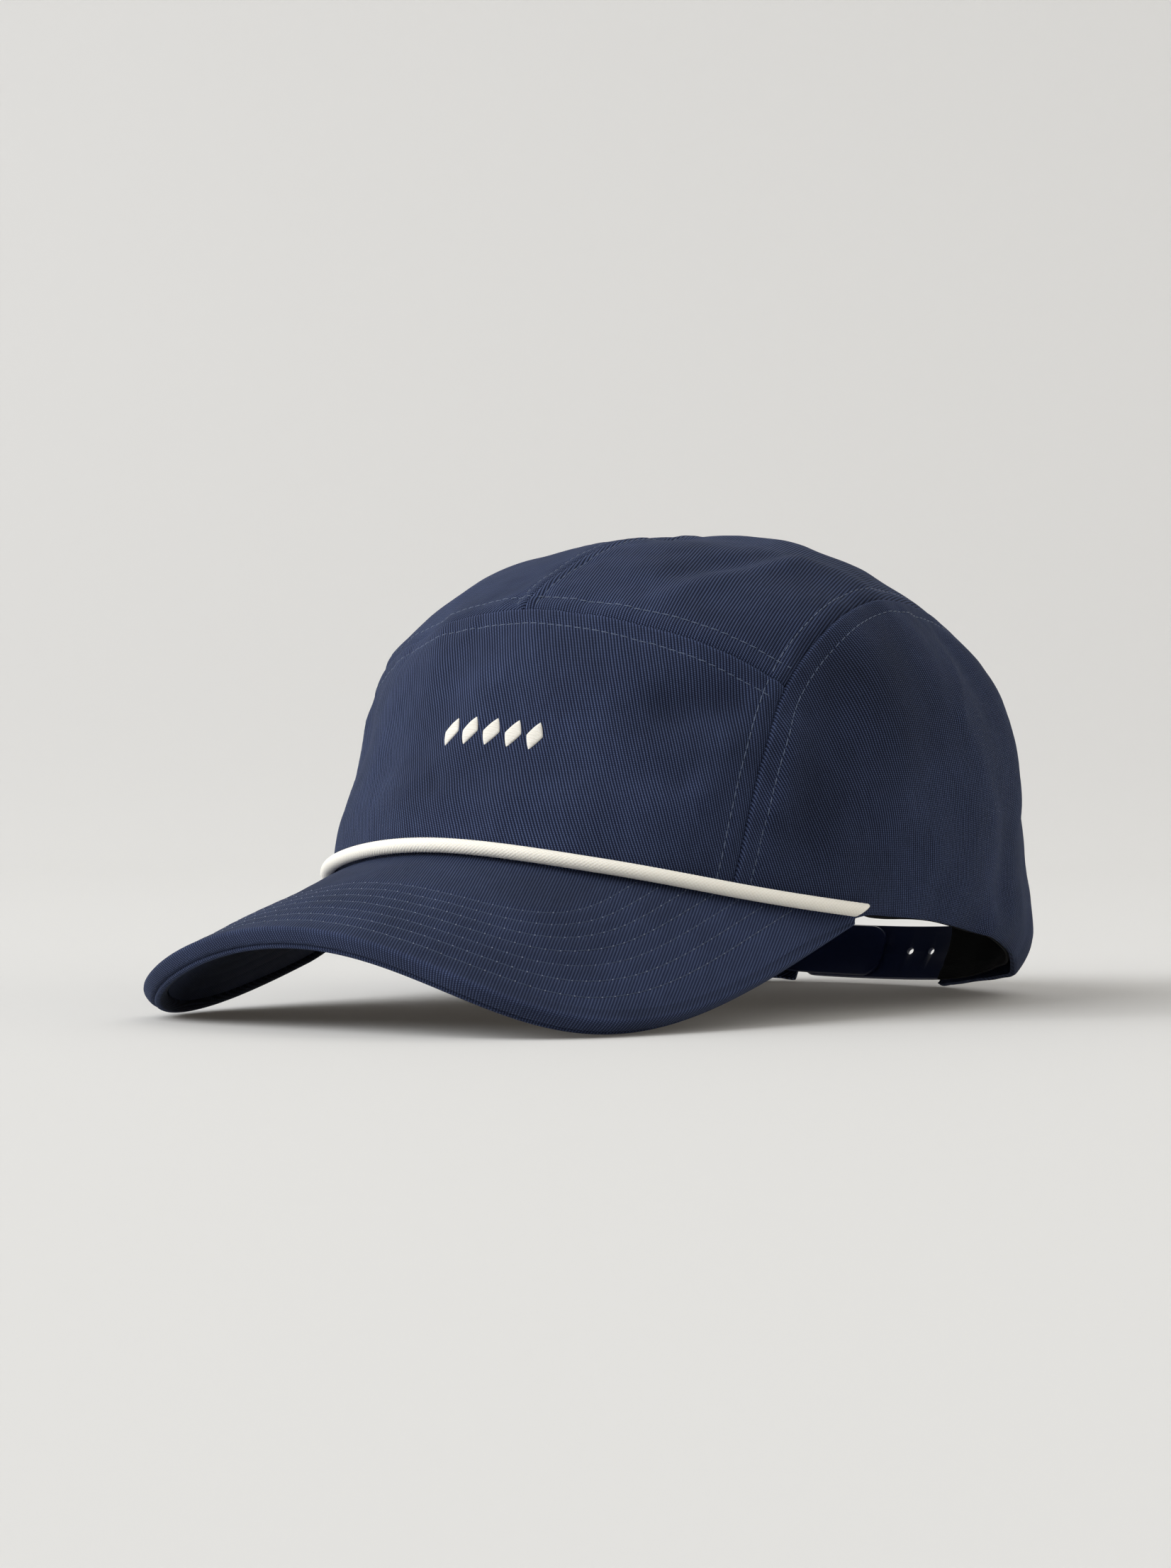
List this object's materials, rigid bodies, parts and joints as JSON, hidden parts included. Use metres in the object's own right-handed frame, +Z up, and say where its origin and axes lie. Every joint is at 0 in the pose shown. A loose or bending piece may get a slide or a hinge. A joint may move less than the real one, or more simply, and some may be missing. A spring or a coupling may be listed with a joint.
{
  "type": "rope cap",
  "caption": "Curved-brim cloth cap with a cream rope along the brim seam and a snap strap across the arched back opening.",
  "frame": {"origin": "the middle of the cap's outline from above, on the surface it lies on", "axes": "the front and the brim point to -Y, the wearer's left is +X, up is +Z; the cap lies on its brim and the back of its hem"},
  "size_m": [0.169, 0.2654, 0.125],
  "materials": {
    "crown_twill": "ribbed navy cotton twill",
    "brim_twill": "ribbed navy cotton twill",
    "under_cloth": "plain dark navy cloth",
    "rope_cord": "braided cream cord",
    "band_cloth": "plain black cloth",
    "strap_plastic": "smooth navy plastic"
  },
  "bodies": {
    "root": {"front_panel": "crown_twill", "side_panel_left": "crown_twill", "side_panel_right": "crown_twill", "top_panel_left": "crown_twill", "top_panel_right": "crown_twill", "brim_upper": "brim_twill", "brim_under": "under_cloth", "rope": "rope_cord", "sweatband": "band_cloth", "strap_with_holes": "strap_plastic", "strap_with_pegs": "strap_plastic"}
  },
  "joints": []
}
